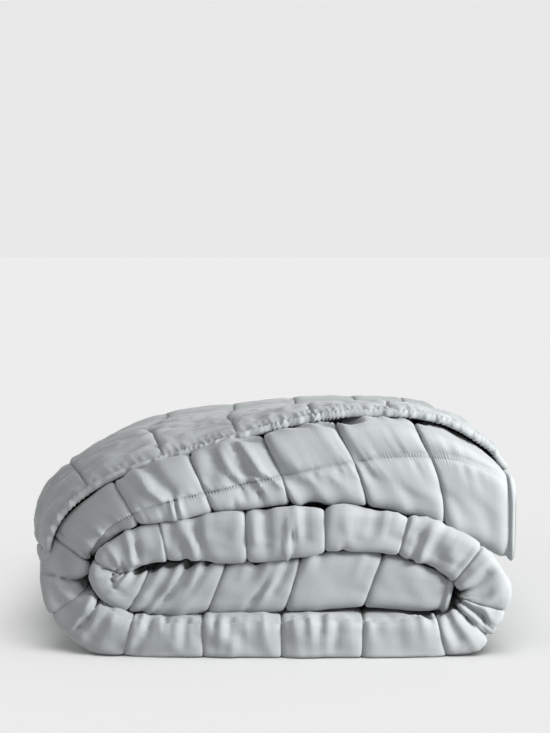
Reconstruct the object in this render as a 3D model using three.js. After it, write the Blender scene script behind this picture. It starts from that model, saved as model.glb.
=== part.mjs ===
// A box-stitched quilt, folded in thirds across its width and then rolled flat into a bundle.
// Millimetres, +Z up, the front fold of the bundle faces -Y, the bundle rests on z = 0.
import * as THREE from "three";

// Flat quilt: square boxes of stitching, all of one size
const BOX = 101.6;
const BOXES_LONG = 24;
const BOXES_WIDE = 22;
const WIDTH = BOX * BOXES_WIDE;

// Thickness of one ply, air between plies, and what is left of the loft on the two ways of stitching
const LOFT = 26;
const PLIES = 3;
const PLY_GAP = 4;
const CROSSWAYS_SHARE = 0.58;
const LENGTHWAYS_SHARE = 0.7;
const PUFF_POWER = 4;
const HEM = 10;

// The bundle: how it crowns behind its front folds, how far the back sinks from that crown, and
// how the outer ply trails to the left as it goes back
const CROWN = 0.03;
const CROWN_FROM = 20;
const CROWN_TO = 220;
const BACK_SINK = 0.1;
const SINK_FROM = 260;
const SINK_TO = 780;
const TRAIL = 0.16;
const TRAIL_REACH = 160;
const TRAIL_FULL_RISE = 30;

// Distances over which the plies change level behind the front fold
const INNER_EASE = 120;
const EDGE_EASE = 110;
const MIN_EASE = 20;
// Between these lengthways lines the cloth passes from the middle ply to the outer ply
const OUTER_BEGINS = 9.5;
const OUTER_SETTLED = 15.5;
// Share of the front fold's height that is a flat face between its two rounded lips
const FRONT_FLAT = 0.55;
// The lengthways stitch line that runs beside the front fold
const FOLD_LINE = 7;
// How far the skewed cloth may reach past the two ends of the rolled path, in boxes
const PATH_SLACK = 0.5;
// Step along the path over which its direction is taken, in boxes
const TANGENT_STEP = 0.001;

// The rolled path, one row for each crossways stitch line from the inner end to the outer end.
// x, z: guide of the front fold's middle; fold: height of that fold; rise: outer ply above the fold;
// drop: how far the free edge of the outer ply hangs below its crest; seam: stitch line FOLD_LINE
// from the fold's foremost line; tip: setback of the fold; back: setback of the outer ply's edge;
// lean: slant of the crossways lines; reach: depth over which the middle ply climbs behind that
// edge; slip: shift of the outer ply along the roll, in boxes; squeeze: what a tight bend leaves of
// the inner half.
const COLUMNS = [
  "x", "z", "fold", "rise", "drop", "seam", "tip", "back", "lean", "reach", "slip", "squeeze",
];
const LINES = [
  [225, 71, 43, 0, 0, -46, 12, 110, 0, 12, 0, 1],
  [125, 93.5, 69, 0, 0, -46, 8, 110, 0.2, 12, 0, 1],
  [20, 82, 64, 0, 0, -46, 6, 110, 0.22, 12, 0, 1],
  [-73, 81.25, 57.5, 0, 0, -46, 6, 110, 0.22, 12, 0, 1],
  [-186, 68, 51, 0, 0, -46, 8, 110, 0.2, 12, 0, 0.9],
  [-232, 108, 52, 0, 0, -46, 12, 110, 0, 12, 0, 0.42],
  [-146, 148.5, 58, 0, 0, -46, 6, 110, -0.04, 12, 0, 0.9],
  [-34, 144, 69, 0, 0, -46, 4, 110, 0, 12, 0, 1],
  [63, 158.5, 65, 0, 0, -44, 4, 110, 0.04, 12, 0, 1],
  [166, 154, 59, 0, 0, -42, 8, 110, 0.08, 12, 0, 1],
  [255, 118, 63, 0, 0, -38, 8, 110, 0, 12, 0, 1],
  [285, 64, 58, 0, 0, -38, 10, 110, 0, 12, 0, 1],
  [221, 6.5, 57, 0, 0, -34, -8, 110, 0, 12, 0, 1],
  [109, 22.5, 57, 0, 0, -30, -12, 110, 0, 12, 0, 1],
  [8, 16.5, 57, 0, 0, -26, -12, 110, 0, 12, 0, 1],
  [-92, 21.5, 57, 0, 0, -24, -10, 110, 0, 12, 0, 1],
  [-188, 7.5, 56, 0, 0, -26, -5, 110, 0.06, 12, 0, 1],
  [-284, 60, 60, -30, 0, -30, 6, 80, 0, -6, 0.05, 1],
  [-277, 130, 56, 56, 28, -30, 0, 70, -0.1, -10, 0.12, 1],
  [-196, 197, 64, 34, 20, -22, 6, 76, -0.2, 0, 0.26, 1],
  [-94, 213, 81, 21, 5, -10, 16, 82, -0.32, 14, 0.32, 1],
  [0, 225, 86, 20, -7, 2, 28, 92, -0.32, 30, 0.32, 1],
  [98, 230, 94, 17, -12, 12, 36, 94, -0.38, 50, 0.3, 1],
  [202, 220, 101, 21, -15, 28, 42, 98, -0.64, 96, 0.08, 1],
  [306, 168, 105, 37, 8, 44, 46, 112, -0.42, -12, -0.42, 1],
];

// Rows of points, in boxes: along the roll, and across each face between its landmarks
const STEPS_PER_BOX = 3;
const FRONT_STEPS_PER_BOX = 5;
const OUTER_STEPS_PER_BOX = 2;
const FRONT_ROWS = { from: 5.6, to: 9 };
const OUTER_ROWS = { from: 16, to: 21.5 };
const INNER_ROWS = [2.5, 4.5];
const MIDDLE_ROWS = [9.6, 11.5, 13.4];
const UNDER_ROWS = [16.5, 18.5, 20.4, 20.9, 21.4];
const BACK_FOLD_INSIDE = [-24, -9, 9, 24];
const BACK_FOLD_OUTSIDE = [-40, -20, -9, 0, 9, 20, 40];
const FRONT_FOLD_INSIDE = [-170, -110, -60, -25, 0, 25, 55, 90, 130, 180];

const CLOTH = new THREE.MeshStandardMaterial({ color: 0xacb3b3, roughness: 0.85, metalness: 0 });
CLOTH.name = "woven cloth";

// Smooth step from 0 to 1 between two values
function ease(from, to, value) {
  return THREE.MathUtils.smoothstep(value, from, to);
}

// One column of the path table at a place along the roll, on a smooth curve guided by its rows
function columnAt(column, place) {
  const last = LINES.length - 1;
  const guide = (row) => {
    if (row < 0) return 2 * LINES[0][column] - LINES[1][column];
    if (row > last) return 2 * LINES[last][column] - LINES[last - 1][column];
    return LINES[row][column];
  };
  const row = THREE.MathUtils.clamp(Math.floor(place), 0, last - 1);
  const t = place - row;
  const weights = [
    (1 - t) ** 3, 3 * t ** 3 - 6 * t ** 2 + 4, 3 * (t + t ** 2 - t ** 3) + 1, t ** 3,
  ];
  return weights.reduce((sum, weight, i) => sum + weight * guide(row - 1 + i), 0) / 6;
}

// All columns at a place along the roll, by name
function rowAt(place) {
  return Object.fromEntries(COLUMNS.map((name, column) => [name, columnAt(column, place)]));
}

// Levels of the three plies, the two folds and their turning points in the section at one place
function sectionAt(place) {
  const row = rowAt(place);
  const room = row.fold + row.rise - Math.max(row.drop, 0) - 2 * PLY_GAP;
  const ply = Math.min(LOFT, room / PLIES);
  const step = ply + PLY_GAP;
  const low = (ply - row.fold) / 2;
  const high = (row.fold - ply) / 2;
  const outer = row.fold / 2 + row.rise - ply / 2;
  const frontFlat = FRONT_FLAT * (high - low) / 2;
  const frontRadius = (high - low) / 2 - frontFlat;
  const frontArc = frontFlat + Math.PI * frontRadius / 2;
  const frontY = row.tip + ply / 2 + frontRadius;
  const foremost = FOLD_LINE * BOX - row.seam;
  const backRadius = step / 2;
  const backArc = Math.PI * backRadius;
  const backY = (WIDTH - foremost - frontArc - backArc + frontY + row.back) / 2;
  const turn = frontArc + backY - frontY;
  return {
    row, ply, step, low, high, outer, foremost, turn,
    frontFlat, frontRadius, frontArc, frontY, backRadius, backArc, backY,
    inner: outer - 2 * step,
    middle: outer - step,
    backMost: foremost + turn + backArc / 2,
  };
}

// How far the outer ply hangs below its crest, at depth y
function hangAt(row, y) {
  return row.drop * (1 - ease(0, EDGE_EASE, y - row.back));
}

// Middle of the cloth in its section, at distance v across the quilt: depth y, height n outward
// from the path, and the direction in which the outside of the front fold faces there
function middleAt(section, v) {
  const { row, step, low, high, inner, middle, outer } = section;
  const { frontFlat, frontRadius, frontArc, frontY, backRadius, backArc, backY, turn } = section;
  const q = v - section.foremost;
  if (q < -frontArc) {
    const y = frontY - q - frontArc;
    const below = Math.max(low, inner - hangAt(row, y));
    return { y, n: low + (below - low) * ease(0, INNER_EASE, y - frontY), faceY: 0, faceN: -1 };
  }
  if (q <= frontArc) {
    const angle = Math.max(Math.abs(q) - frontFlat, 0) / frontRadius;
    const [faceY, faceN] = [-Math.cos(angle), Math.sign(q) * Math.sin(angle)];
    const onFlat = THREE.MathUtils.clamp(q, -frontFlat, frontFlat);
    return { y: frontY + frontRadius * faceY, n: onFlat + frontRadius * faceN, faceY, faceN };
  }
  if (q <= turn) {
    const y = frontY + q - frontArc;
    const climb = Math.max(row.back + row.reach - frontY, MIN_EASE);
    const below = Math.max(low + step, middle - hangAt(row, y));
    return { y, n: high + (below - high) * ease(0, climb, y - frontY), faceY: 0, faceN: 1 };
  }
  if (q <= turn + backArc) {
    const angle = (q - turn) / backRadius;
    const [faceY, faceN] = [-Math.sin(angle), Math.cos(angle)];
    return { y: backY - backRadius * faceY, n: (middle + outer) / 2 - backRadius * faceN, faceY, faceN };
  }
  const y = backY - (q - turn - backArc);
  return { y, n: outer - hangAt(row, y), faceY: 0, faceN: -1 };
}

// Share of the loft inside a box: the given share on a stitch line, full in its middle
function puff(boxes, onLine) {
  const inBox = boxes - Math.floor(boxes);
  return 1 - (1 - onLine) * Math.abs(2 * inBox - 1) ** PUFF_POWER;
}

// Point on one face of the quilt: place in boxes along it, v across it, side 1 outside the front fold
function quiltPoint(place, v, side, section) {
  const { row, ply } = section;
  const middle = middleAt(section, v);
  const share = puff(place, CROSSWAYS_SHARE) * puff(v / BOX, LENGTHWAYS_SHARE);
  const half = side * share * ply / 2;
  const y = middle.y + half * middle.faceY;
  const level = middle.n + half * middle.faceN;
  const n = level < 0 ? level * row.squeeze : level;
  const onOuter = ease(OUTER_BEGINS * BOX, OUTER_SETTLED * BOX, v);
  const far = THREE.MathUtils.clamp(y - row.back, 0, TRAIL_REACH);
  const trail = TRAIL * far / BOX * THREE.MathUtils.clamp(row.rise / TRAIL_FULL_RISE, 0, 1);
  const skewed = place + (1 - onOuter) * row.lean * n / BOX + onOuter * (row.slip - trail);
  const along = THREE.MathUtils.clamp(skewed, -PATH_SLACK, BOXES_LONG + PATH_SLACK);
  const [x, z] = [columnAt(0, along), columnAt(1, along)];
  const tangentX = columnAt(0, along + TANGENT_STEP) - columnAt(0, along - TANGENT_STEP);
  const tangentZ = columnAt(1, along + TANGENT_STEP) - columnAt(1, along - TANGENT_STEP);
  const length = Math.hypot(tangentX, tangentZ);
  const crown = 1 + CROWN * ease(CROWN_FROM, CROWN_TO, y) - BACK_SINK * ease(SINK_FROM, SINK_TO, y);
  return new THREE.Vector3(x - n * tangentZ / length, y, Math.max(0, z + n * tangentX / length) * crown);
}

// Evenly spaced rows between two lines, in boxes
function rowsBetween(rows, perBox) {
  const count = Math.round((rows.to - rows.from) * perBox);
  return Array.from({ length: count + 1 }, (_, i) => rows.from + i / perBox);
}

// Distances across the quilt, from edge to edge, at which each face has points at one place
function rowsAt(section) {
  const inBoxes = (boxes) => boxes * BOX;
  const fromBack = (offset) => section.backMost + offset;
  const fromFront = (offset) => section.foremost + offset;
  const outside = [
    ...INNER_ROWS.map(inBoxes), ...rowsBetween(FRONT_ROWS, FRONT_STEPS_PER_BOX).map(inBoxes),
    ...MIDDLE_ROWS.map(inBoxes), ...BACK_FOLD_INSIDE.map(fromBack), ...UNDER_ROWS.map(inBoxes),
  ];
  const inside = [
    ...INNER_ROWS.map(inBoxes), ...FRONT_FOLD_INSIDE.map(fromFront), ...MIDDLE_ROWS.map(inBoxes),
    ...BACK_FOLD_OUTSIDE.map(fromBack), ...rowsBetween(OUTER_ROWS, OUTER_STEPS_PER_BOX).map(inBoxes),
  ];
  return [outside, inside].map((rows) => [0, HEM, ...rows, WIDTH - HEM, WIDTH]);
}

// Closed loop of the section at one place: the face outside the front fold, then the other face back
function loopAt(place) {
  const section = sectionAt(place);
  const [outside, inside] = rowsAt(section);
  const back = inside.toReversed();
  const onFace = (side) => (v) => quiltPoint(place, v, side, section);
  return { outside, inside, points: [...outside.map(onFace(1)), ...back.map(onFace(-1))] };
}

// Triangles of the cut end of the quilt: a strip between the rows of its two faces
function endTriangles({ outside, inside, points }) {
  const triangles = [];
  const onInside = (j) => points.length - 1 - j;
  let [i, j] = [0, 0];
  while (i < outside.length - 1 || j < inside.length - 1) {
    const stepOutside = j === inside.length - 1 || outside[i + 1] <= inside[j + 1];
    if (stepOutside) {
      triangles.push([i, i + 1, onInside(j)]);
      i += 1;
    } else {
      triangles.push([i, onInside(j + 1), onInside(j)]);
      j += 1;
    }
  }
  return triangles;
}

// Places along the roll: every third of a box, and the hem line at both ends
function placesAlong() {
  const even = Array.from({ length: BOXES_LONG * STEPS_PER_BOX + 1 }, (_, i) => i / STEPS_PER_BOX);
  return [...even, HEM / BOX, BOXES_LONG - HEM / BOX].sort((a, b) => a - b);
}

// The whole quilt as one closed skin: loops joined along the roll and closed at both ends
function quiltGeometry() {
  const loops = placesAlong().map(loopAt);
  const count = loops[0].points.length;
  const index = [];
  for (let i = 0; i + 1 < loops.length; i += 1) {
    for (let j = 0; j < count; j += 1) {
      const next = (j + 1) % count;
      const [a, b, c, d] = [i * count + j, i * count + next, (i + 1) * count + next, (i + 1) * count + j];
      index.push(a, c, b, a, d, c);
    }
  }
  const first = (loops.length - 1) * count;
  endTriangles(loops[0]).forEach(([a, b, c]) => index.push(a, b, c));
  endTriangles(loops.at(-1)).forEach(([a, b, c]) => index.push(first + a, first + c, first + b));
  const geometry = new THREE.BufferGeometry().setFromPoints(loops.flatMap((loop) => loop.points));
  geometry.setIndex(index);
  return geometry;
}

// Puts the middle of the footprint at the origin, on the floor
function rested(geometry) {
  geometry.computeBoundingBox();
  const box = geometry.boundingBox;
  geometry.translate(-(box.min.x + box.max.x) / 2, -(box.min.y + box.max.y) / 2, -box.min.z);
  geometry.computeVertexNormals();
  return geometry;
}

const quilt = new THREE.Mesh(rested(quiltGeometry()), CLOTH);
quilt.name = "quilt";

const part = new THREE.Group();
part.add(quilt);
export default part;
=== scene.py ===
import math

import bpy
import numpy as np
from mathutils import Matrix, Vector


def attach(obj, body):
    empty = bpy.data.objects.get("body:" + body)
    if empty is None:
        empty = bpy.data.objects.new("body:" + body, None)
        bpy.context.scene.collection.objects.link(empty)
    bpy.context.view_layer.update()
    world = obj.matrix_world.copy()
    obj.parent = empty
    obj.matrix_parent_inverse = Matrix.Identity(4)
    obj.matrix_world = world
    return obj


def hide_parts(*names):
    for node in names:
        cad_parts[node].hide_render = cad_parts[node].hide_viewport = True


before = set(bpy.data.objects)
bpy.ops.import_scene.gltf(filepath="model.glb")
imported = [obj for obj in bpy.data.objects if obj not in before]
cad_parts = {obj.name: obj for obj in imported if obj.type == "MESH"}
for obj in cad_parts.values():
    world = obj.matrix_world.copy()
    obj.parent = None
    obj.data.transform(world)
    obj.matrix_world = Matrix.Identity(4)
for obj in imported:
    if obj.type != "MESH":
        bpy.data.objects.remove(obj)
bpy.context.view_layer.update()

# The quilt: two cotton faces over a soft filling, stitched through in square boxes, its edge turned
# in and topstitched. It is folded in thirds across its width and the strip is rolled up flat, so
# its front fold shows once for each turn of the roll and its third ply lies loose on top.
MM = 0.001
BOX = 101.6
BOXES_LONG = 24
WIDTH = 22 * BOX
LOFT = 26
PLY_GAP = 4

# The lengthways line that runs along the front fold, and the share of the fold's height that is flat
FOLD_LINE = 7
FRONT_FLAT = 0.55

# From the origin of the path table to the middle of the footprint on the floor
SHIFT = np.array([10.40, -421.18, 0.0])

# One row for each crossways stitch line, from the inner end of the roll to its outer end: the front
# fold's guide x and z and its height; how far the outer ply stands above the fold, and its front edge
# hangs; how far the lengthways line lies above the fold's foremost line, and the fold's tip and the hem
# lie back; how the crossways lines lean; how far behind the hem the middle ply gets to its level; how far
# the outer ply has slipped along the roll, in boxes; and how far the fold's inside half is squeezed
PATH_COLUMNS = "x z fold rise drop seam tip back lean reach slip squeeze".split()
PATH_LINES = [
    (225, 71, 43, 0, 0, -46, 12, 110, 0, 12, 0, 1),
    (125, 93.5, 69, 0, 0, -46, 8, 110, 0.2, 12, 0, 1),
    (20, 82, 64, 0, 0, -46, 6, 110, 0.22, 12, 0, 1),
    (-73, 81.25, 57.5, 0, 0, -46, 6, 110, 0.22, 12, 0, 1),
    (-186, 68, 51, 0, 0, -46, 8, 110, 0.2, 12, 0, 0.9),
    (-232, 108, 52, 0, 0, -46, 12, 110, 0, 12, 0, 0.42),
    (-146, 148.5, 58, 0, 0, -46, 6, 110, -0.04, 12, 0, 0.9),
    (-34, 144, 69, 0, 0, -46, 4, 110, 0, 12, 0, 1),
    (63, 158.5, 65, 0, 0, -44, 4, 110, 0.04, 12, 0, 1),
    (166, 154, 59, 0, 0, -42, 8, 110, 0.08, 12, 0, 1),
    (255, 118, 63, 0, 0, -38, 8, 110, 0, 12, 0, 1),
    (285, 64, 58, 0, 0, -38, 10, 110, 0, 12, 0, 1),
    (221, 6.5, 57, 0, 0, -34, -8, 110, 0, 12, 0, 1),
    (109, 22.5, 57, 0, 0, -30, -12, 110, 0, 12, 0, 1),
    (8, 16.5, 57, 0, 0, -26, -12, 110, 0, 12, 0, 1),
    (-92, 21.5, 57, 0, 0, -24, -10, 110, 0, 12, 0, 1),
    (-188, 7.5, 56, 0, 0, -26, -5, 110, 0.06, 12, 0, 1),
    (-284, 60, 60, -30, 0, -30, 6, 80, 0, -6, 0.05, 1),
    (-277, 130, 56, 56, 28, -30, 0, 70, -0.1, -10, 0.12, 1),
    (-196, 197, 64, 34, 20, -22, 6, 76, -0.2, 0, 0.26, 1),
    (-94, 213, 81, 21, 5, -10, 16, 82, -0.32, 14, 0.32, 1),
    (0, 225, 86, 20, -7, 2, 28, 92, -0.32, 30, 0.32, 1),
    (98, 230, 94, 17, -12, 12, 36, 94, -0.38, 50, 0.3, 1),
    (202, 220, 101, 21, -15, 28, 42, 98, -0.64, 96, 0.08, 1),
    (306, 168, 105, 37, 8, 44, 46, 112, -0.42, -12, -0.42, 1),
]
PATH = {name: np.array(column, float) for name, column in zip(PATH_COLUMNS, zip(*PATH_LINES))}


def ease(low, high, value):
    """Smooth step from 0 to 1 between two values."""
    t = np.clip((value - low) / (high - low), 0, 1)
    return t * t * (3 - 2 * t)


def along_roll(name, u):
    """One column of the path table at places u along the roll, on a smooth curve guided by its rows."""
    guide = PATH[name]
    guide = np.concatenate([[2 * guide[0] - guide[1]], guide, [2 * guide[-1] - guide[-2]]])
    i = np.clip(np.floor(u).astype(int), 0, BOXES_LONG - 1)
    t = u - i
    first, second = (1 - t) ** 3, 3 * t**3 - 6 * t**2 + 4
    third, fourth = 3 * (t + t**2 - t**3) + 1, t**3
    return (first * guide[i] + second * guide[i + 1] + third * guide[i + 2] + fourth * guide[i + 3]) / 6


def value_at(table, u):
    """Value at u of a short table, whose rows are a place along the roll in boxes and the value there."""
    return np.interp(u, *zip(*table))


# Here and there the cloth is drawn round its fold a little, which shifts the lengthways line
DRAWN_ROUND = [
    (11, 0), (12.2, 4), (16.2, 4), (17, 0), (17.95, 0), (18.15, 11), (18.6, 10), (19, 8), (19.6, 4),
    (20.2, 0), (21.6, 0), (22.4, -1), (23, -4), (24, -5),
]


def ply_levels(u):
    """Levels of the three plies, the two folds and their turning points in the section at u."""
    s = {name: along_roll(name, u) for name in PATH_COLUMNS}
    room = s["fold"] + s["rise"] - np.maximum(s["drop"], 0) - 2 * PLY_GAP
    s["ply"] = np.minimum(LOFT, room / 3)
    s["step"] = s["ply"] + PLY_GAP
    s["high"] = (s["fold"] - s["ply"]) / 2
    s["low"] = -s["high"]
    s["outer"] = s["fold"] / 2 + s["rise"] - s["ply"] / 2
    s["middle"] = s["outer"] - s["step"]
    s["inner"] = s["middle"] - s["step"]
    s["front_flat"] = FRONT_FLAT * s["high"]
    s["front_round"] = s["high"] - s["front_flat"]
    s["front_arc"] = s["front_flat"] + math.pi * s["front_round"] / 2
    s["front_y"] = s["tip"] + s["ply"] / 2 + s["front_round"]
    s["foremost"] = FOLD_LINE * BOX - s["seam"] - value_at(DRAWN_ROUND, u)
    s["back_arc"] = math.pi * s["step"] / 2
    used = s["foremost"] + s["front_arc"] + s["back_arc"]
    s["back_y"] = (WIDTH - used + s["front_y"] + s["back"]) / 2
    s["turn"] = s["front_arc"] + s["back_y"] - s["front_y"]
    return s


# Distances over which the plies change level behind the front fold
INNER_EASE = 120
EDGE_EASE = 110
MIN_EASE = 20


def ply_middle(s, v):
    """Middle of the cloth in its section: depth, height above the path, and which way its outside faces."""

    def hang(y):
        return s["drop"] * (1 - ease(0, EDGE_EASE, y - s["back"]))

    q = v - s["foremost"]
    y_in = s["front_y"] - q - s["front_arc"]
    level_in = np.maximum(s["low"], s["inner"] - hang(y_in))
    n_in = s["low"] + (level_in - s["low"]) * ease(0, INNER_EASE, y_in - s["front_y"])
    on_flat = np.clip(q, -s["front_flat"], s["front_flat"])
    front = (q - on_flat) / s["front_round"]
    y_front = s["front_y"] - s["front_round"] * np.cos(front)
    n_front = on_flat + s["front_round"] * np.sin(front)
    y_mid = s["front_y"] + q - s["front_arc"]
    climb = np.maximum(s["back"] + s["reach"] - s["front_y"], MIN_EASE)
    level_mid = np.maximum(s["low"] + s["step"], s["middle"] - hang(y_mid))
    n_mid = s["high"] + (level_mid - s["high"]) * ease(0, 1, (y_mid - s["front_y"]) / climb)
    back = 2 * (q - s["turn"]) / s["step"]
    y_back = s["back_y"] + s["step"] / 2 * np.sin(back)
    n_back = (s["middle"] + s["outer"]) / 2 - s["step"] / 2 * np.cos(back)
    y_out = s["back_y"] - (q - s["turn"] - s["back_arc"])
    n_out = s["outer"] - hang(y_out)
    where = [q < -s["front_arc"], q <= s["front_arc"], q <= s["turn"], q <= s["turn"] + s["back_arc"]]
    flat = np.zeros_like(q)
    y = np.select(where, [y_in, y_front, y_mid, y_back], y_out)
    n = np.select(where, [n_in, n_front, n_mid, n_back], n_out)
    face_y = np.select(where, [flat, -np.cos(front), flat, -np.sin(back)], flat)
    face_n = np.select(where, [flat - 1, np.sin(front), flat + 1, np.cos(back)], flat - 1)
    return y, n, face_y, face_n


def uneven(x, row, pitch, seed):
    """Smooth seeded waves along x, a different run of them for each whole-numbered row."""
    table = np.random.default_rng(seed).uniform(-1, 1, (128, 2048))
    i = np.floor(x / pitch).astype(int)
    t = ease(0, 1, x / pitch - i)
    row = np.asarray(row).astype(int) % 128
    return table[row, i % 2048] * (1 - t) + table[row, (i + 1) % 2048] * t


def rumple(x, y, pitch_x, pitch_y, seed):
    """Smooth seeded unevenness over the cloth, of the given pitch each way."""
    j = np.floor(y / pitch_y).astype(int)
    t = ease(0, 1, y / pitch_y - j)
    return uneven(x, j, pitch_x, seed) * (1 - t) + uneven(x, j + 1, pitch_x, seed) * t


# Round the left bend the outer ply creeps along the roll, so its crossways lines lie further on, in boxes
CREEP = [(16, 0.62), (18, 0.66), (19, 0.32), (20, 0.22), (22, 0.22), (23, 0.18), (24, 0)]


def outer_creep(u, v):
    """How far the outer ply has crept along the roll, in boxes."""
    return value_at(CREEP, u) * ease(14.5 * BOX, 15.5 * BOX, v)


# Each box is fullest in its middle and drawn down to the stitches: how far it dips towards its crossways
# and lengthways lines, how much less to the crossways ones on top, the narrow groove of the stitches, how
# unevenly the boxes are filled, and half the thickness that is left under the stitches of the hem
CROSSWAYS_DIP = 0.16
LESS_ON_TOP = 0.09
LENGTHWAYS_DIP = 0.22
GROOVE = 0.50
CROSSWAYS_GROOVE = 1.9
LENGTHWAYS_GROOVE = 2.2
UNEVEN_FILLING = 0.08
STITCH_HALF = 1.3

# The hem is a turned edge with no filling, a bead that the gathering scallops; near the outer end of the
# roll the gathering is weaker and the ply behind it thin
HEM = 10
HEM_HALF = 5.2
BEAD_MIDDLE = 4.6
BEAD_ROUND = 5.0
FILLING_REACH = 13
THIN_END = 0.55
SCALLOP = 0.26
SCALLOP_LESS = 0.16
GATHER_PITCH = 4.4
RUFFLE = 6.0


def ruffle(x):
    """The small uneven waves of the gathered hem, about 1 high."""
    size = 0.6 + 0.8 * uneven(x, 10, 23, 33)
    waves = np.cos(2 * math.pi * x / RUFFLE + 4 * uneven(x, 9, 19, 33)) * size
    return waves * (0.4 + 0.6 * ease(19 * BOX, 20 * BOX, x))


def to_edge(x, v):
    """Distance to the nearest edge of the flat quilt."""
    return np.minimum(np.minimum(v, WIDTH - v), np.minimum(x, BOXES_LONG * BOX - x))


def before_end(u):
    """Fades the gathers out beside the outer end of the roll."""
    return ease(23.9, 23.6, u)


def half_loft(u, v, ply):
    """Half the quilt's thickness at a point: pillows between the lines, and the turned hem at the edges."""
    x = u * BOX
    u = u - outer_creep(u, v)
    to_cross = np.abs(u - np.round(u)) * BOX
    to_long = np.abs(v / BOX - np.round(v / BOX)) * BOX
    across, along = 1 - 2 * to_cross / BOX, 1 - 2 * to_long / BOX
    on_top = ease(16.5, 17.5, u) * ease(7 * BOX, 7.4 * BOX, v) * ease(13 * BOX, 12 * BOX, v)
    on_top = np.maximum(on_top, ease(15 * BOX, 16 * BOX, v) * ease(16, 17, u))
    pillow = (1 - (CROSSWAYS_DIP - LESS_ON_TOP * on_top) * across**5) * (1 - LENGTHWAYS_DIP * along**5)
    groove = 1 - GROOVE * np.exp(-to_cross / CROSSWAYS_GROOVE)
    groove = groove * (1 - GROOVE * np.exp(-to_long / LENGTHWAYS_GROOVE))
    fullness = uneven(np.floor(u) * 3.0, np.floor(v / BOX), 3.0, 11)
    fuller = 1 + UNEVEN_FILLING * fullness * (1 - across**2) * (1 - along**2)
    share = pillow * groove * fuller
    share = share * (1 - THIN_END * ease(22.4, 23.1, x / BOX) * ease(WIDTH - 160, WIDTH - 60, v))
    edge = to_edge(x, v)
    waved = ruffle(x) * ease(WIDTH - 30, WIDTH - HEM, v) * before_end(u)
    scallop = 1 + (SCALLOP - SCALLOP_LESS * ease(21.9, 22.4, u)) * waved
    bead = HEM_HALF * scallop * np.sqrt(np.clip(1 - ((edge - BEAD_MIDDLE) / BEAD_ROUND) ** 2, 0.06, 1))
    filling = 1 - np.exp(-np.maximum(edge - HEM, 0) / FILLING_REACH)
    filled = STITCH_HALF + (share * ply / 2 - STITCH_HALF) * filling
    return np.where(edge < HEM, np.maximum(bead, STITCH_HALF * ease(4, HEM, edge)), filled)


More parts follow.
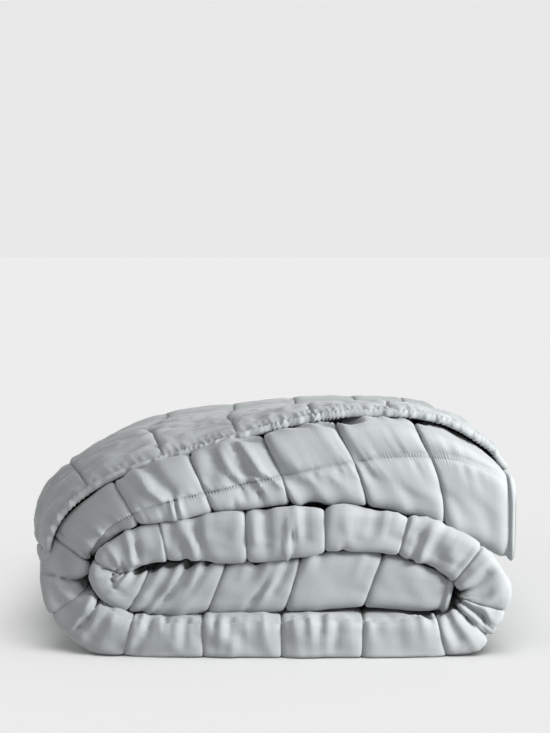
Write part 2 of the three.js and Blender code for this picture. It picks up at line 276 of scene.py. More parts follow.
# The creases that the fold and the roll press into the cloth, placed against the box lines of the
# photo to a twentieth of a box. One row each: from and to, in boxes along and across the quilt, then the
# half width and the height of the ridge or (minus) the trough
CREASES = [
    # top turn
    (19.2, 7.4, 19.35, 7.25, 6, 4.5), (19.35, 7.25, 19.45, 7.05, 6, 5.5), (19.45, 7.35, 19.6, 7.1, 9, -7),
    (19.55, 7, 19.5, 6.9, 4, 4.5), (19.65, 7, 19.6, 6.9, 4, 4), (19.6, 7, 19.55, 6.9, 3, -4),
    (20.4, 7.25, 20.5, 7.1, 5, 6), (20.6, 7.3, 20.65, 7.1, 7, -6.5), (20.3, 7.3, 20.1, 7.15, 9, -5),
    (20.75, 7.2, 20.75, 7.1, 4.5, 3.5), (20.45, 7, 20.45, 6.85, 5, -3), (20.65, 6.85, 20.65, 6.8, 4.5, -8),
    (20.3, 6.85, 20.3, 6.8, 4, -5),
    # second turn
    (6.25, 7.6, 6.4, 7.3, 6, 5.5), (6.4, 7.6, 6.45, 7.3, 6, -5.5), (6.25, 7.3, 6.25, 7.1, 4, -8),
    (6.85, 7.5, 6.95, 7.65, 8, 3), (7.1, 7.6, 7.1, 7.4, 6, 3.5), (7.25, 7.7, 7.25, 7.35, 8, -5),
    (7.55, 7.55, 7.5, 7.25, 4, 6), (7.6, 7.5, 7.55, 7.25, 4.5, -6), (7.65, 7.65, 7.65, 7.45, 4, 4),
    (7.75, 7.65, 7.75, 7.4, 7, -3), (8.25, 7.55, 8.3, 7.35, 4, 2), (8.25, 7.25, 8.2, 7.1, 5, -4),
    (8.8, 7.6, 8.8, 7.4, 5, -2), (9.2, 7.5, 9.2, 7.2, 3.6, -8), (9.3, 7.55, 9.3, 7.25, 6, 6),
    (9.5, 7.4, 9.5, 7.3, 7, -2), (9.65, 7.5, 9.65, 7.35, 11, 3), (9.9, 7.5, 9.85, 7.3, 5, -4),
    # right bend
    (10.35, 7.5, 10.4, 7.2, 8, -7), (10.4, 7.2, 10.45, 7.05, 7, -5), (10.2, 7.5, 10.15, 7.2, 7, 4),
    (10.65, 7.5, 11.1, 7.25, 8, 6), (11.55, 6.8, 11.45, 7.25, 4, -10), (11.45, 7.25, 11.4, 7.6, 3.4, -10),
    (11.2, 7.2, 11.25, 7.4, 6, -7), (11.2, 7.35, 11.3, 7.45, 3, -6), (11.3, 7.45, 11.2, 7.65, 2.6, -6),
    (11.4, 7.45, 11.35, 7.7, 4, -4), (11.2, 7.45, 10.9, 7.55, 4, -4), (11.05, 7.35, 11.2, 7.45, 5, 4),
    # inner bend
    (4.95, 7.55, 5, 7.45, 2.2, -6), (4.85, 7.5, 5, 7.4, 2, -6), (4.5, 7.45, 5.6, 7.25, 2.4, -9),
    (4.45, 7.5, 4.3, 7.2, 7, 4), (4.8, 7.6, 4.9, 7.45, 4, 4), (5.3, 7.55, 5.25, 7.4, 4, 4),
    (5.6, 7.6, 5.5, 7.35, 5, 5), (5.65, 7.55, 5.6, 7.35, 5, -4.5), (5.8, 7.6, 5.85, 7.35, 8, 2),
    (5.8, 7.2, 5.8, 7.1, 6, -4),
    # inner turn
    (3.5, 7.1, 3.7, 7.55, 4.5, 5.5), (3.4, 7.1, 3.6, 7.5, 4.5, -6), (3.3, 7.15, 3.35, 7.35, 4.5, 4.5),
    (3.15, 7.05, 3.3, 7.4, 4.5, -5.5), (3.75, 7.1, 3.9, 7.45, 6, 4), (3.85, 7.05, 3.9, 7.2, 6, -3),
    (2.45, 7.05, 2.6, 7.2, 5, -7), (2.25, 7.2, 2.35, 7.5, 6, 5), (2.35, 7.4, 2.5, 7.6, 5, -4.5),
    (2.15, 7.3, 2.25, 7.5, 3.6, -4), (2.65, 7.15, 2.75, 7.3, 6, 3), (1.85, 7.1, 1.9, 7.25, 5, 3),
    (1.75, 7.05, 1.75, 7.25, 6, -3.5), (1.4, 7, 1.4, 7.15, 3, 2.5), (1.25, 7.2, 1.25, 7.35, 3, 2),
    # left bend
    (17.5, 7.4, 17.4, 7.1, 2.6, -9), (17.4, 7.1, 17.15, 7.05, 4, -8), (17.9, 7.1, 17.6, 7.15, 6, 6),
    (17.9, 7.35, 17.65, 7.3, 9, -5), (17.45, 7.35, 16.85, 7.15, 6, 5), (16.85, 7, 16.7, 7.15, 7, 4),
    (16.65, 6.75, 16.6, 7.2, 2.6, -9), (16.6, 7.2, 16.65, 7.4, 2.2, -8), (16.75, 7.15, 16.7, 7.4, 5, 5),
    (16.5, 7.15, 16.55, 7.4, 8, 3.5), (16.4, 7.1, 16.45, 7.4, 8, -3),
    # bottom turn
    (15.75, 7, 15.9, 7.3, 7, -4.5), (15.8, 6.95, 15.95, 7.25, 8, 4), (15.5, 6.85, 15.5, 7, 5, -4),
    (15.3, 7, 15.4, 7.2, 8, 2.5), (15.2, 6.95, 15.25, 7.2, 6, -2.5), (14.85, 6.85, 14.85, 7.05, 5, -4),
    (14.75, 7, 14.75, 7.15, 6, 2.5), (14.65, 6.95, 14.65, 7.1, 6, -3), (14.6, 7.15, 14.65, 7.35, 7, 2.5),
    (13.5, 6.9, 13.5, 7.15, 7, -3.5), (13.65, 6.95, 13.6, 7.15, 7, 2), (13.4, 6.95, 13.45, 7.2, 6, 2.5),
    (13.3, 7.1, 13.35, 7.3, 5, -2.5), (12.7, 7.1, 12.65, 7.25, 7, 2), (12.9, 7, 12.85, 7.15, 5, -2),
    (12.25, 6.85, 12.1, 7.1, 6, -4), (12.35, 6.95, 12.2, 7.2, 7, 2.5), (12.05, 6.85, 12.1, 7.15, 6, 3),
    (11.8, 7.15, 11.75, 7.35, 7, -3), (11.95, 7.2, 11.9, 7.4, 6, 2.5), (11.65, 7.15, 11.6, 7.45, 7, 3),
]

# Puckers beside the stitches, and the fine ticks that comb the fold's lengthways line
PUCKER_PEAK = 5
PUCKER_PITCH = 8
LENGTHWAYS_PUCKER = 2.6
CROSSWAYS_PUCKER = 0.6
COMB_PITCH = 3.6
COMB = 1.2
COMB_REACH = 2.2

# How deep the fold's lengthways line is drawn in
FOLD_VALLEY = [(11.5, 0), (12, 1), (16, 1.5), (17, 1), (18, 1), (18.5, 4), (19.2, 4), (20, 2), (24, 1.5)]
VALLEY_REACH = 4.5

# Soft unevenness all over, the crinkles of the washed outer ply and the small folds inside its hem
RUMPLE = 1.6
FINE_RUMPLE = 0.9 * RUMPLE
CRINKLE = 7.2
GATHER_FOLD = 4.2
GATHER_REACH = 9

# Troughs narrower than this are sharp slits, and how quickly a crease fades past its ends
SLIT = 5
CREASE_FADE = 33

# Height of the loose folds that drape across the front fold, and their slope along the roll
DRAPE = [
    (0, 4), (1, 6), (4, 6.5), (5, 3.5), (7, 3.5), (9, 4), (10, 2), (12, 2), (16, 2), (17, 2), (19, 7),
    (21, 7), (23, 6), (24, 4),
]
DRAPE_SLANT = [(0, -0.9), (4, -0.9), (6, -0.25), (11, -0.25), (12, 0.2), (17, 0.2), (19, 0.7), (24, 0.5)]


def crease_heights(x, v):
    """All the creases of the front fold together: soft ridges and troughs, and sharp narrow slits."""
    height = np.zeros_like(x)
    for u_from, v_from, u_to, v_to, width, rise in CREASES:
        run = np.array([u_to - u_from, v_to - v_from]) * BOX
        length = np.hypot(*run)
        dx, dv = x - u_from * BOX, v - v_from * BOX
        forward = (dx * run[0] + dv * run[1]) / length**2
        aside = (dx * run[1] - dv * run[0]) / length
        past_end = np.maximum(np.abs(forward - 0.5) / 1.5 - 0.3, 0)
        taper = np.exp(-CREASE_FADE * past_end**2)
        soft = rise > 0 or width >= SLIT
        profile = np.exp(-((aside / width) ** 2)) if soft else np.exp(-1.3 * np.abs(aside) / width)
        height += rise * profile * taper
    return height


def beside_line(distance):
    """Rises from nothing on a stitch line to 1 at the puckers' peak and dies away past it."""
    return np.abs(distance) / PUCKER_PEAK * np.exp(1 - np.abs(distance) / PUCKER_PEAK)


def relief(u, v, side):
    """What stands out of the pillows: puckers beside the stitches, crinkles of the outer face, creases."""
    x = u * BOX
    boxes = u - outer_creep(u, v)
    long_line, cross_line = np.round(v / BOX), np.round(boxes)
    to_long, to_cross = v - long_line * BOX, (boxes - cross_line) * BOX
    rows = 2 * long_line + (to_long > 0)
    drawn = LENGTHWAYS_PUCKER * (1 - 0.6 * ease(11, 12, u))
    height = drawn * beside_line(to_long) * uneven(x + 0.15 * to_long, rows, PUCKER_PITCH, 21)
    ticks = np.cos(2 * math.pi * x / COMB_PITCH + 2.5 * uneven(x, rows, 13, 27))
    ticks = ticks * (0.6 + 0.7 * uneven(x, rows, 9, 28)) * np.exp(-((to_long / COMB_REACH) ** 2))
    ticks = ticks * (0.35 * ease(11.6, 12, u) + 0.65 * ease(18.6, 19.4, u) - 0.55 * ease(20.6, 21.4, u))
    height += COMB * ticks * (long_line == FOLD_LINE)
    valley = value_at(FOLD_VALLEY, u) * np.exp(-np.abs(to_long) / VALLEY_REACH)
    height -= valley * (long_line == FOLD_LINE) * (side > 0)
    rows = 2 * cross_line + (to_cross > 0)
    height += CROSSWAYS_PUCKER * beside_line(to_cross) * uneven(v, rows, PUCKER_PITCH, 22)
    height += RUMPLE * rumple(x, v, 46, 38, 23) + FINE_RUMPLE * rumple(x + v, v, 21, 17, 24)
    slant = value_at(DRAPE_SLANT, u) * (v - FOLD_LINE * BOX)
    folds = 0.6 - 2 * np.abs(rumple(x + slant, v, 34, 90, 41))
    folds = folds - 0.8 * np.abs(rumple(x + 0.6 * slant, v, 17, 60, 43))
    folds = folds * (1 - 0.55 * ease(17, 18, u) * ease(6.92 * BOX, 6.72 * BOX, v))
    height += value_at(DRAPE, u) * (side > 0) * folds * ease(-0.5, 0.5, rumple(x, v, 70, 60, 42))
    outer = ease(15 * BOX, 16 * BOX, v) * (side < 0)
    streak = 0.6 - np.abs(rumple(x + 0.5 * v, v - 0.12 * x, 48, 11, 25))
    streak = streak - 0.6 * np.abs(rumple(x, v + 0.25 * x, 22, 14, 26))
    height += CRINKLE * outer * streak * (0.3 + 0.7 * ease(WIDTH - 330, WIDTH - 200, v))
    height += (side > 0) * crease_heights(x, v)
    inside = WIDTH - HEM - v
    gathers = np.where(inside > 0, np.exp(-np.abs(inside) / GATHER_REACH), 0.4 * np.exp(inside / 4))
    gathers = gathers * (1 - 2 * np.abs(uneven(x + 0.2 * inside, 7, GATHER_PITCH, 32))) * (side < 0)
    gathers = GATHER_FOLD * gathers * before_end(u)
    return height * ease(HEM, 4 * HEM, to_edge(x, v)) + gathers


# How the bundle crowns behind its front folds and sinks to its back, how the outer ply trails to the left
# as it goes back, and how softly the lowest cloth settles on the floor
CROWN = 0.03
BACK_SINK = 0.112
TRAIL = 0.16
TRAIL_REACH = 160
TRAIL_FULL_RISE = 30
SOFT_REST = 9
REST_SINK = 0.9

# Between these lengthways lines the cloth passes from the middle ply to the outer ply
OUTER_BEGINS = 9.5
OUTER_SETTLED = 15.5

# At the ends of the roll the turned hem lies towards the outside face, by this share of the ply and from
# this far; the outer end reaches on a little, in boxes, and its loose hem lifts
END_SPREAD = 0.45
END_SPREAD_REACH = 42
END_REACH = 0.05
OUTER_END_REACH = 0.17
END_LIFT = 2

# How far past its ends the path may be used, and the step that gives its direction, both in boxes
PATH_SLACK = 0.5
TANGENT_STEP = 0.001

# Fuller cloth on the two lips of the front fold, and the waves of the hem up and down and back and forth
SQUARE_LIP = 0.5
GATHER_DEPTH = 1.0
GATHER_SWAY = 2.2

# The inner turn's crossways lines lean a little more than its plies do
LEAN_MORE = [(0.4, 0), (1.2, 0.17), (2.4, 0.17), (3, 0.24), (4, 0.26), (4.8, 0)]

# The top turn's crossways lines bow along the roll, in boxes at the fold's middle
LINE_BOW = [(18, 0), (19, 0.04), (20, 0.03), (21, 0.08), (22, 0.09), (23, 0.12), (24, 0)]

# Round the left bend the fold's face slants back above its lengthways line, as a slope
FACE_SLANT = [(17.2, 0), (17.8, 0.75), (19, 0.75), (19.6, 0.5), (20.6, 0.25), (22, 0)]

# The loose hem stands up off the lip below it, and falls at the outer end
HEM_RISE = [
    (17.3, 0), (18.4, 1), (19.2, 6), (20, 10), (20.9, 13), (21.6, 17), (22.4, 18), (22.9, 16), (23.2, 11),
    (23.5, 3.5), (24, -7),
]

# The outer ply as a whole has settled down on the plies below it
SETTLED = [(18.2, 0), (19, 5), (20, 6), (21.2, 6), (22, 8), (22.8, 9), (23.4, 8), (24, 5)]

# Beside the outer end the middle ply stands up behind the front fold
END_RISE = [(22.6, 0), (23.2, 6), (23.6, 10), (24, 8)]

# The hem is pulled forward over the left bend, and less and less further on
PULLED_FORWARD = [(16.6, 0), (17.2, 16), (19, 16), (20.6, 10), (21.8, 2), (24, 0)]

# The upper lip of the top turn's front fold stands up towards the hem
LIP_RISE = [
    (17.5, 0), (18.1, -1), (19.2, -1), (20, 3), (20.9, 9), (21.6, 14), (22.3, 17), (22.9, 17), (23.2, 14),
    (23.5, 8), (24, -3),
]

# How far the front fold lies back in the inner turns and at the left bend
SET_BACK = [
    (0, 6), (1, 13), (3.6, 13), (4.6, 4), (5.4, 4), (6, 7), (9.3, 7), (10.2, 0), (16.3, 0), (17, 22),
    (17.5, 32), (18, 30), (18.6, 14), (19.1, 0),
]

# How full the fold is on the inside of the roll, where the turns press together, and on its outside
FULL_INSIDE = [
    (0, 1.25), (1, 1.34), (4, 1.36), (4.6, 1.1), (4.9, 1), (5.4, 1.2), (6, 1), (7, 0.92), (8, 0.82),
    (9, 0.80), (9.6, 0.9), (10, 1), (10.5, 1.16), (10.9, 1.24), (11.3, 1.12), (12, 1.18), (16.4, 1.2),
    (17, 1.12), (17.8, 1.12), (18.4, 1.03), (19.2, 0.94), (20.4, 0.89), (21.9, 0.89), (22.6, 0.96),
    (23.2, 1.01), (24, 1),
]
FULL_OUTSIDE = [(5.2, 1), (5.8, 1.1), (7, 1.1), (8, 1.08), (9.6, 1.06), (10.4, 1)]


def cloth_point(u, v, side, lift=0.0):
    """Point on one face of the folded and rolled quilt, in metres in the part's frame."""
    u, v, side, lift = np.broadcast_arrays(*[np.asarray(a, float) for a in (u, v, side, lift)])
    s = ply_levels(u)
    y, n, face_y, face_n = ply_middle(s, v)
    n_seam = ply_middle(s, np.full_like(v, FOLD_LINE * BOX))[1]
    loft = half_loft(u, v, s["ply"])
    loft = loft * (1 + SQUARE_LIP * (side > 0) * (2 * face_y * face_n) ** 2)
    end = np.minimum(u, BOXES_LONG - u) * BOX
    spread = (END_SPREAD * s["ply"] - HEM_HALF) * ease(END_SPREAD_REACH, HEM, end)
    half = side * (loft + relief(u, v, side) + lift) + spread
    gathered = np.exp(-(WIDTH - v) / GATHER_REACH) * before_end(u)
    n = n + GATHER_DEPTH * gathered * ruffle(u * BOX + 1.5)
    y = y + GATHER_SWAY * gathered * uneven(u * BOX, 1, 1.5 * GATHER_PITCH, 31) + half * face_y
    n = n + half * face_n
    full_inside = s["squeeze"] * value_at(FULL_INSIDE, u)
    n = n * np.where(n < 0, full_inside, value_at(FULL_OUTSIDE, u))
    y = y - value_at(PULLED_FORWARD, u) * ease(WIDTH - 200, WIDTH - 20, v)
    on_outer = ease(OUTER_BEGINS * BOX, OUTER_SETTLED * BOX, v)
    y = y + value_at(FACE_SLANT, u) * np.clip(n - n_seam, 0, 60) * ease(15 * BOX, 14 * BOX, v)
    y = y + value_at(SET_BACK, u) * ease(9 * BOX, 8 * BOX, v)
    n = n + value_at(LIP_RISE, u) * ease(0, 45, n) * ease(12 * BOX, 10 * BOX, v)
    n = n + value_at(HEM_RISE, u) * ease(WIDTH - 210, WIDTH - 40, v)
    n = n - value_at(SETTLED, u) * ease(15.5 * BOX, 16.5 * BOX, v)
    n = n + value_at(END_RISE, u) * ease(8.1 * BOX, 8.9 * BOX, v) * ease(11 * BOX, 9.6 * BOX, v)
    n = n + END_LIFT * np.exp(-(((u - 23.55) / 0.42) ** 2)) * ease(WIDTH - 260, WIDTH - 20, v)
    far = np.clip(y - s["back"], 0, TRAIL_REACH)
    trail = TRAIL * far / BOX * np.clip(s["rise"] / TRAIL_FULL_RISE, 0, 1)
    lean = s["lean"] + value_at(LEAN_MORE, u)
    bow = value_at(LINE_BOW, u) * (1 - 0.5 * np.clip(n / 50, -1, 1) ** 2)
    front_shift = (1 - on_outer) * (lean * n / BOX + bow)
    outer_shift = on_outer * (s["slip"] - trail + OUTER_END_REACH * ease(22.8, 24, u))
    place = u + END_REACH * ease(23.2, 24, u) + front_shift + outer_shift
    place = np.clip(place, -PATH_SLACK, BOXES_LONG + PATH_SLACK)
    x, z = along_roll("x", place), along_roll("z", place)
    ahead, behind = place + TANGENT_STEP, place - TANGENT_STEP
    tangent_x = along_roll("x", ahead) - along_roll("x", behind)
    tangent_z = along_roll("z", ahead) - along_roll("z", behind)
    length = np.hypot(tangent_x, tangent_z)
    crown = 1 + CROWN * ease(20, 220, y) - BACK_SINK * ease(260, 780, y)
    z = z + n * tangent_x / length
    z = np.where(z > SOFT_REST, z, SOFT_REST * np.exp(np.minimum(z, SOFT_REST) / SOFT_REST - 1))
    z = np.maximum(0, z - REST_SINK) * crown
    return (np.stack([x - n * tangent_z / length, y, z], -1) + SHIFT) * MM


# The mesh: rows of points at set distances across the quilt, each with its own places along the roll,
# close together where the cloth shows and with closer ones beside the stitch lines
FINE = 15
BESIDE_LINE = (-2.6, -1.2, 0, 1.2, 2.6)


def stations(*runs, lines=np.arange(1, BOXES_LONG)):
    """Places along the roll: (from, to, points in a box) for each run, closer at the stitch lines."""
    places = []
    for first, last, per_box in runs:
        places.append(first + np.arange(round((last - first) * per_box)) / per_box)
        if per_box >= FINE:
            inside = lines[(lines >= first) & (lines < last)]
            places += [inside + d / BOX for d in BESIDE_LINE]
    hem = np.array([0.02, 0.05, 0.09, 0.13])
    places += [hem, BOXES_LONG - hem, [BOXES_LONG]]
    return np.unique(np.round(np.concatenate(places), 5))


def rows_at(*runs):
    """Distances across the quilt: (from, to, spacing) for each run."""
    return np.concatenate([np.arange(first, last - spacing / 3, spacing) for first, last, spacing in runs])


crept = np.linspace(16, BOXES_LONG, 801)
OUTER_LINES = np.interp(np.arange(17, BOXES_LONG), crept - outer_creep(crept, WIDTH), crept)
HIDDEN = stations((0, 24, 4))
FOLD = stations((0, 24, 22))
LOW_FOLD = stations((0, 16, 5), (16, 24, 24))
HIGH_FOLD = stations((0, 17, 24), (17, 24, 6))
FOLD_FINE = stations((0, 12, 23), (12, 24, 32))
FOLD_TICKS = stations((0, 12, 24), (12, 17, 60), (17, 24, 112))
OUTER = stations((0, 16, 4), (16, 24, 24), lines=OUTER_LINES)
UNDER = stations((0, 16, 4), (16, 24, 12))
OUTER_FAR = stations((0, 16, 4), (16, 24, 16), lines=OUTER_LINES)
OUTER_HEM = stations((0, 16, 5), (16, 24, 44), lines=OUTER_LINES)
HEM_EDGE = stations((0, 16, 5), (16, 24, 70), lines=OUTER_LINES)
EDGE_ROWS = np.array([0, 1, 3, 6, 8.5, 10, 11.5, 15, 22])
line = FOLD_LINE * BOX
ABOUT_LINE = (58, 44, 30, 16, 3, 0, -3, -15, -29)
far_rows = np.array([k * BOX + d for k in range(19, 13, -1) for d in ABOUT_LINE])
front_rows = [
    (EDGE_ROWS, HIDDEN), (rows_at((34, 560, 34)), HIDDEN), (rows_at((560, 608, 12)), HIDDEN),
    (rows_at((608, 664, 4)), LOW_FOLD), (rows_at((664, line - 15, 4)), FOLD),
    (rows_at((line - 15, line - 6, 3)), FOLD_FINE), (rows_at((line - 6, line + 6.5, 2)), FOLD_TICKS),
    (rows_at((line + 9, line + 15, 3)), FOLD_FINE), (rows_at((line + 15, 806, 4)), FOLD),
    (rows_at((806, 850, 4)), HIGH_FOLD), (rows_at((850, 960, 10)), UNDER),
    (rows_at((960, 1400, 40), (1400, 1640, 14), (1640, 2120, 40)), HIDDEN),
    (rows_at((2120, WIDTH - 30, 9)), UNDER), (WIDTH - EDGE_ROWS[::-1], HEM_EDGE),
]
outer_rows = [
    (WIDTH - rows_at((0, 12, 2)), HEM_EDGE), (WIDTH - rows_at((12, 34, 3)), OUTER_HEM),
    (WIDTH - rows_at((34, 230, 4)), OUTER), (far_rows, OUTER_FAR),
    (WIDTH - rows_at((860, WIDTH - 30, 40)), HIDDEN), (EDGE_ROWS[::-1], HIDDEN),
]
rows = [(v, 1, places) for group, places in front_rows for v in group]
rows += [(v, -1, places) for group, places in outer_rows for v in group]
starts = np.cumsum([0] + [len(places) for _, _, places in rows])
all_u = np.concatenate([places for _, _, places in rows])
all_v = np.concatenate([np.full(len(places), v) for v, _, places in rows])
all_side = np.concatenate([np.full(len(places), side) for _, side, places in rows])
points = cloth_point(all_u, all_v, all_side)


def zipped(low, low_at, high, high_at):
    """Faces between two runs of points that are spaced differently: low and high are where they lie."""
    faces, i, j = [], 0, 0
    while i + 1 < len(low) or j + 1 < len(high):
        if j + 1 == len(high) or (i + 1 < len(low) and low[i + 1] <= high[j + 1]):
            faces.append((low_at[i], low_at[i + 1], high_at[j]))
            i += 1
        else:
            faces.append((low_at[i], high_at[j + 1], high_at[j]))
            j += 1
    return faces


faces = []
for a in range(len(rows)):
    b = (a + 1) % len(rows)
    at_a = np.arange(starts[a], starts[a] + len(rows[a][2]))
    at_b = np.arange(starts[b], starts[b] + len(rows[b][2]))
    if rows[a][2] is rows[b][2]:
        faces += np.stack([at_a[:-1], at_a[1:], at_b[1:], at_b[:-1]], -1).tolist()
    else:
        faces += zipped(rows[a][2], at_a.tolist(), rows[b][2], at_b.tolist())
front_count = sum(side > 0 for _, side, _ in rows)
back_order = np.arange(len(rows) - 1, front_count - 1, -1)
for end in (0, 1):
    at = [starts[r] + (len(rows[r][2]) - 1) * end for r in range(len(rows))]
    cap = zipped([rows[r][0] for r in range(front_count)], at[:front_count],
                 [rows[r][0] for r in back_order], [at[r] for r in back_order])
    faces += [face[::-1] if end == 0 else face for face in cap]
mesh = bpy.data.meshes.new("quilt_cloth")
mesh.from_pydata(points.tolist(), [], [[int(i) for i in face] for face in faces])
corner = np.zeros(len(mesh.loops), int)
mesh.loops.foreach_get("vertex_index", corner)
weave_map = mesh.uv_layers.new(name="weave")
flat_places = np.stack([all_u * BOX, all_v], -1) * MM
weave_map.data.foreach_set("uv", flat_places[corner].ravel().astype(np.float32))
mesh.polygons.foreach_set("use_smooth", np.ones(len(mesh.polygons), bool))
quilt = bpy.data.objects.new("quilt_cloth", mesh)
bpy.context.scene.collection.objects.link(quilt)


# Cotton: yarns of uneven thickness, which catch the light as short streaks
def cotton_yarns():
    """Node group: streaks along the yarns, with so many yarns to the metre each way."""
    group = bpy.data.node_groups.new("cotton_yarns", "ShaderNodeTree")
    group.interface.new_socket("Vector", in_out="INPUT", socket_type="NodeSocketVector")
    group.interface.new_socket("Yarn", in_out="INPUT", socket_type="NodeSocketVector")
    group.interface.new_socket("Streak", in_out="OUTPUT", socket_type="NodeSocketFloat")
    nodes, links = group.nodes, group.links
    entry, result = nodes.new("NodeGroupInput"), nodes.new("NodeGroupOutput")
    stretch = nodes.new("ShaderNodeVectorMath")
    stretch.operation = "MULTIPLY"
    links.new(entry.outputs["Vector"], stretch.inputs[0])
    links.new(entry.outputs["Yarn"], stretch.inputs[1])
    noise = nodes.new("ShaderNodeTexNoise")
    noise.inputs["Scale"].default_value = 1.0
    noise.inputs["Detail"].default_value = 2.0
    links.new(stretch.outputs[0], noise.inputs["Vector"])
    links.new(noise.outputs[0], result.inputs["Streak"])
    return group


YARNS = cotton_yarns()


def yarns(nodes, links, coords, per_metre):
    """Places the yarn group in a material and returns its streaks."""
    node = nodes.new("ShaderNodeGroup")
    node.node_tree = YARNS
    node.inputs["Yarn"].default_value = (*per_metre, 1.0)
    links.new(coords, node.inputs["Vector"])
    return node.outputs["Streak"]


cloth = bpy.data.materials.new("washed_cotton")
cloth.use_nodes = True
nodes, links = cloth.node_tree.nodes, cloth.node_tree.links
shader = nodes["Principled BSDF"]
shader.inputs["Roughness"].default_value = 0.82
shader.inputs["Specular IOR Level"].default_value = 0.28
shader.inputs["Sheen Weight"].default_value = 0.22
shader.inputs["Sheen Roughness"].default_value = 0.45
place = nodes.new("ShaderNodeUVMap")
place.uv_map = "weave"
across = yarns(nodes, links, place.outputs[0], (420, 24))
along = yarns(nodes, links, place.outputs[0], (900, 900))
both = nodes.new("ShaderNodeMath")
both.operation = "ADD"
links.new(across, both.inputs[0])
links.new(along, both.inputs[1])
shade = nodes.new("ShaderNodeMapRange")
shade.inputs["From Min"].default_value = 0.6
shade.inputs["From Max"].default_value = 1.4
links.new(both.outputs[0], shade.inputs["Value"])
colour = nodes.new("ShaderNodeMix")
colour.data_type = "RGBA"
colour.inputs["A"].default_value = (0.305, 0.324, 0.329, 1)
colour.inputs["B"].default_value = (0.335, 0.355, 0.360, 1)
links.new(shade.outputs[0], colour.inputs["Factor"])
links.new(colour.outputs["Result"], shader.inputs["Base Color"])
bump = nodes.new("ShaderNodeBump")
bump.inputs["Strength"].default_value = 0.2
bump.inputs["Distance"].default_value = 0.0004
links.new(both.outputs[0], bump.inputs["Height"])
links.new(bump.outputs[0], shader.inputs["Normal"])
quilt.data.materials.append(cloth)
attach(quilt, "root")
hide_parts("quilt")

# The stitching: a matching cotton thread in short even stitches, run by machine along every line of
# the boxes and along the turned hem, sunk between the pillows. The thread is coloured darker than the
# cloth: painted shade of the grooves it lies in.
STITCH = 2.6
STITCH_STEP = 3.4
THREAD_HALF = 0.3

# Each stitch is thinner at its two ends, where it dips into the cloth, than in the middle
STITCH_LIFT = np.array([-0.2, 0.3, -0.2])
STITCH_TAPER = np.array([0.6, 1, 0.6])

# The thread is made where the cloth shows: across the front fold, and over the outer ply on top, in boxes
FOLD_FROM = 5.7
FOLD_TO = 9.3
OUTER_FROM = 15.8
TOP_FROM = 16.5
FIRST_STITCH = 0.1
LAST_STITCH = 23.9


def seam(u_from, v_from, u_to, v_to, side):
    """One line of stitches, in boxes and millimetres: the two ends and the middle of each stitch."""
    length = math.hypot((u_to - u_from) * BOX, v_to - v_from)
    first = np.arange(0, length - STITCH, STITCH_STEP)
    ends = np.stack([first, first + STITCH / 2, first + STITCH], -1) / length
    return u_from + (u_to - u_from) * ends, v_from + (v_to - v_from) * ends, np.full(ends.shape, side)


ends = [HEM / BOX, BOXES_LONG - HEM / BOX]
hem_line = WIDTH - HEM
seams = [seam(u, FOLD_FROM * BOX, u, FOLD_TO * BOX, 1) for u in range(1, BOXES_LONG)]
seams += [seam(FIRST_STITCH, v * BOX, LAST_STITCH, v * BOX, 1) for v in (6, 7, 8)]
seams += [seam(u, OUTER_FROM * BOX, u, hem_line, -1) for u in OUTER_LINES]
seams += [seam(TOP_FROM, v * BOX, LAST_STITCH, v * BOX, -1) for v in range(16, 22)]
seams += [seam(TOP_FROM, hem_line, LAST_STITCH, hem_line, -1)]
seams += [seam(u, FOLD_FROM * BOX, u, FOLD_TO * BOX, 1) for u in ends]
stitch_u, stitch_v, stitch_side = [np.concatenate(part) for part in zip(*seams)]
centre = cloth_point(stitch_u, stitch_v, stitch_side, STITCH_LIFT)
above = cloth_point(stitch_u, stitch_v, stitch_side, STITCH_LIFT + 1)


def unit(a):
    """Vectors of the same directions and of length 1."""
    return a / np.maximum(np.linalg.norm(a, axis=-1, keepdims=True), 1e-9)


ahead = unit(centre[:, 2:] - centre[:, :1])
up = unit(above - centre)
aside = unit(np.cross(ahead, up))
up = unit(np.cross(aside, ahead))
thick = STITCH_TAPER[None, :, None] * THREAD_HALF * MM
ring = [centre + thick * (math.cos(a) * aside + math.sin(a) * up) for a in np.arange(4) * math.pi / 2]
stitch_points = np.stack(ring, 2).reshape(-1, 3)
stitch_points[:, 2] = np.maximum(stitch_points[:, 2], 0)
base = np.arange(len(centre))[:, None] * 12
quads = []
for k in (0, 4):
    for i in range(4):
        beside = (i + 1) % 4
        quads.append([k + i, k + beside, k + 4 + beside, k + 4 + i])
quads += [[3, 2, 1, 0], [8, 9, 10, 11]]
stitch_faces = (base[:, None] + np.array(quads)[None]).reshape(-1, 4)
thread_mesh = bpy.data.meshes.new("box_stitches")
thread_mesh.from_pydata(stitch_points.tolist(), [], stitch_faces.tolist())
thread_mesh.polygons.foreach_set("use_smooth", np.ones(len(thread_mesh.polygons), bool))
stitches = bpy.data.objects.new("box_stitches", thread_mesh)
bpy.context.scene.collection.objects.link(stitches)
thread = bpy.data.materials.new("cotton_thread_painted_shade")
thread.use_nodes = True
nodes, links = thread.node_tree.nodes, thread.node_tree.links
shader = nodes["Principled BSDF"]
shader.inputs["Roughness"].default_value = 0.7
place = nodes.new("ShaderNodeTexCoord")
twist = yarns(nodes, links, place.outputs["Object"], (900, 900))
# The thread's tone is darker than the cloth's: its own matching colour with painted shade of the stitch
# grooves, varied along the twist
colour = nodes.new("ShaderNodeMix")
colour.data_type = "RGBA"
colour.inputs["A"].default_value = (0.20, 0.22, 0.22, 1)
colour.inputs["B"].default_value = (0.30, 0.32, 0.32, 1)
links.new(twist, colour.inputs["Factor"])
links.new(colour.outputs["Result"], shader.inputs["Base Color"])
stitches.data.materials.append(thread)
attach(stitches, "root")

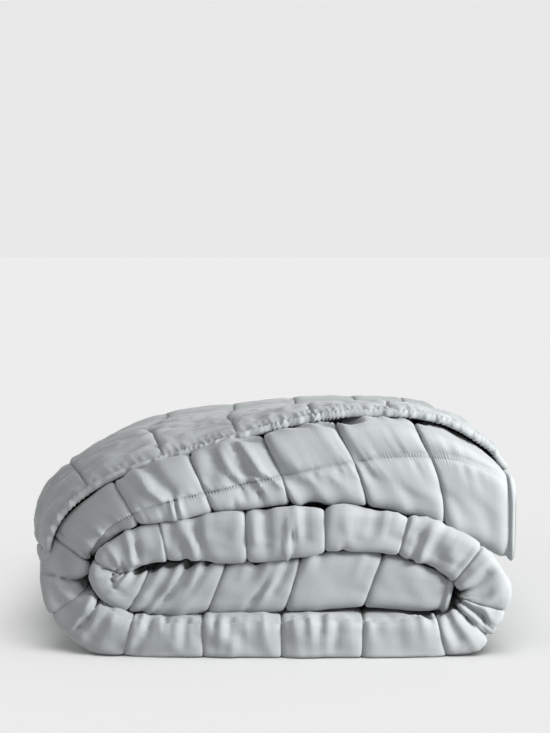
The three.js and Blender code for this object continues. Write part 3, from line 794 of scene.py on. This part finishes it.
# The studio: a plain pale floor that runs on into a pale background, soft light from all round, two soft
# lamps from the right on the quilt, a wash from above on the floor, and the camera a little above the
# bundle, looking slightly down at its front folds.
REACH = 150.0
corners = [(-REACH, -REACH, 0), (REACH, -REACH, 0), (REACH, REACH, 0), (-REACH, REACH, 0)]
floor_mesh = bpy.data.meshes.new("floor")
floor_mesh.from_pydata(corners, [], [(0, 1, 2, 3)])
floor = bpy.data.objects.new("floor", floor_mesh)
bpy.context.scene.collection.objects.link(floor)
paper = bpy.data.materials.new("pale_paper")
paper.use_nodes = True
shader = paper.node_tree.nodes["Principled BSDF"]
shader.inputs["Base Color"].default_value = (0.82, 0.82, 0.82, 1)
shader.inputs["Roughness"].default_value = 0.9
shader.inputs["Specular IOR Level"].default_value = 0.0
floor.data.materials.append(paper)
BACKGROUND = 0.807
SKY = 0.53
world = bpy.data.worlds.new("studio")
world.use_nodes = True
bpy.context.scene.world = world
nodes, links = world.node_tree.nodes, world.node_tree.links
nodes["Background"].inputs["Color"].default_value = (SKY, SKY, SKY, 1)
shown = nodes.new("ShaderNodeBackground")
shown.inputs["Color"].default_value = (BACKGROUND, BACKGROUND, BACKGROUND, 1)
ray = nodes.new("ShaderNodeLightPath")
choose = nodes.new("ShaderNodeMixShader")
links.new(ray.outputs["Is Camera Ray"], choose.inputs[0])
links.new(nodes["Background"].outputs[0], choose.inputs[1])
links.new(shown.outputs[0], choose.inputs[2])
links.new(choose.outputs[0], nodes["World Output"].inputs["Surface"])


def lamp(name, kind, power, shines_from, shines_on):
    """A lamp that shines from one direction on the given objects alone."""
    light = bpy.data.lights.new(name, kind)
    light.energy = power
    holder = bpy.data.objects.new(name, light)
    holder.rotation_euler = Vector(shines_from).to_track_quat("Z", "Y").to_euler()
    bpy.context.scene.collection.objects.link(holder)
    lit = bpy.data.collections.new("lit_by_" + name)
    for piece in shines_on:
        lit.objects.link(piece)
    holder.light_linking.receiver_collection = lit
    return light, holder


key, _ = lamp("key", "SUN", power=1.9, shines_from=(0.9, -0.35, 0.85), shines_on=(quilt, stitches))
key.angle = math.radians(40)
side, side_lamp = lamp("side", "AREA", power=31, shines_from=(1.3, -0.55, 0.5), shines_on=(quilt, stitches))
side.size = 0.4
side_lamp.location = (1.35, -0.95, 0.65)
wash, _ = lamp("wash", "SUN", power=1.6, shines_from=(0.1, -0.15, 1.0), shines_on=(floor,))
wash.angle = math.radians(50)

CAMERA_FROM_PATH = np.array([0, -2170, 513])
LOOKS_DOWN = 3.8
view = bpy.data.cameras.new("camera")
view.sensor_width = 36
view.lens = 85.06
camera = bpy.data.objects.new("camera", view)
camera.location = (CAMERA_FROM_PATH + SHIFT) * MM
camera.rotation_euler = (math.radians(90 - LOOKS_DOWN), 0, 0)
bpy.context.scene.collection.objects.link(camera)
bpy.context.scene.camera = camera
bpy.context.scene.view_settings.view_transform = "Standard"
